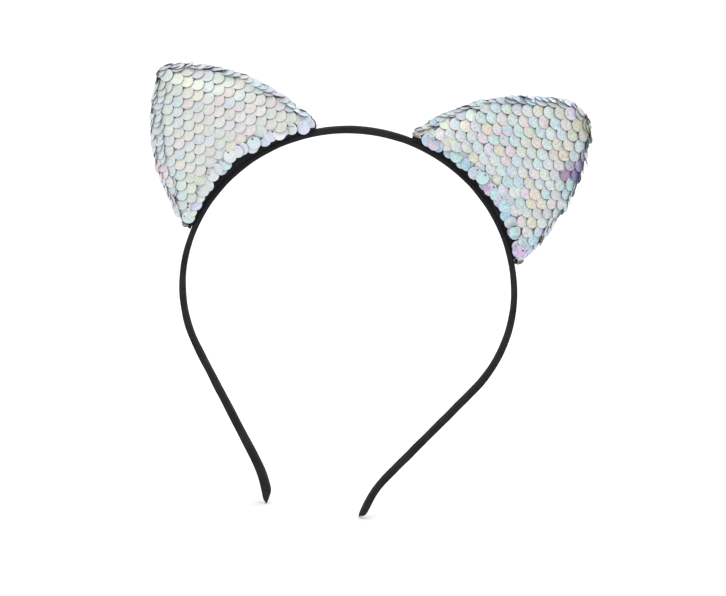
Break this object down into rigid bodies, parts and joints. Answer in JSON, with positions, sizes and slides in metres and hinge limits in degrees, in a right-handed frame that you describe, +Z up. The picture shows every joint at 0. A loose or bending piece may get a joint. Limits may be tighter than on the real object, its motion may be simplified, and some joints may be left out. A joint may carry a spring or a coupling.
{
  "type": "animal ears headband",
  "caption": "Slim ribbon-wrapped headband with two padded cat ears covered in overlapping pearl sequins; the band springs open to fit the head.",
  "frame": {"origin": "centre of the arc that lies on the head, midway between the front and back edges of the band", "axes": "+Z up towards the top of the head, -Y towards the front of the ears, +X towards the wearer's left, which is the right side as seen from the front"},
  "size_m": [0.1666, 0.0176, 0.1774],
  "materials": {
    "ribbon": "matte woven black ribbon",
    "strip_steel": "cold-rolled spring steel strip",
    "felt": "black needle felt",
    "hot_glue": "set hot-melt glue, cloudy",
    "padding": "soft polyester filling",
    "net": "fine knitted net",
    "sequins": "iridescent pearl film",
    "thread": "spun polyester thread"
  },
  "bodies": {
    "crown": {"crown_core": "strip_steel", "crown_ribbon": "ribbon"},
    "left_shoulder": {"left_shoulder_core": "strip_steel", "left_shoulder_ribbon": "ribbon", "left_ear_glue": "hot_glue", "left_ear_felt": "felt", "left_ear_padding": "padding", "left_ear_front_net": "net", "left_ear_back_net": "net", "left_ear_front_sequins": "sequins", "left_ear_back_sequins": "sequins", "left_ear_seam_thread": "thread"},
    "left_leg": {"left_leg_core": "strip_steel", "left_leg_ribbon": "ribbon", "left_end_fold": "ribbon"},
    "right_shoulder": {"right_shoulder_core": "strip_steel", "right_shoulder_ribbon": "ribbon", "right_ear_glue": "hot_glue", "right_ear_felt": "felt", "right_ear_padding": "padding", "right_ear_front_net": "net", "right_ear_back_net": "net", "right_ear_front_sequins": "sequins", "right_ear_back_sequins": "sequins", "right_ear_seam_thread": "thread"},
    "right_leg": {"right_leg_core": "strip_steel", "right_leg_ribbon": "ribbon", "right_end_fold": "ribbon"}
  },
  "joints": [
    {"name": "left_spread", "type": "hinge", "parent": "crown", "child": "left_shoulder", "pos_m": [-0.00675, 0, 0.06425], "axis": [0, 1, 0], "range_deg": [-2, 10], "stiffness_Nm_per_rad": 1.4},
    {"name": "right_spread", "type": "hinge", "parent": "crown", "child": "right_shoulder", "pos_m": [0.00675, 0, 0.06425], "axis": [0, -1, 0], "range_deg": [-2, 10], "stiffness_Nm_per_rad": 1.4},
    {"name": "left_leg_flex", "type": "hinge", "parent": "left_shoulder", "child": "left_leg", "pos_m": [-0.06336, 0, 0.01258], "axis": [0, 1, 0], "range_deg": [-1.6, 8], "stiffness_Nm_per_rad": 0.8},
    {"name": "right_leg_flex", "type": "hinge", "parent": "right_shoulder", "child": "right_leg", "pos_m": [0.06336, 0, 0.01258], "axis": [0, -1, 0], "range_deg": [-1.6, 8], "stiffness_Nm_per_rad": 0.8}
  ],
  "couplings": [
    {"joint": "left_leg_flex", "follows": "left_spread", "ratio": 0.8},
    {"joint": "right_leg_flex", "follows": "right_spread", "ratio": 0.8}
  ]
}
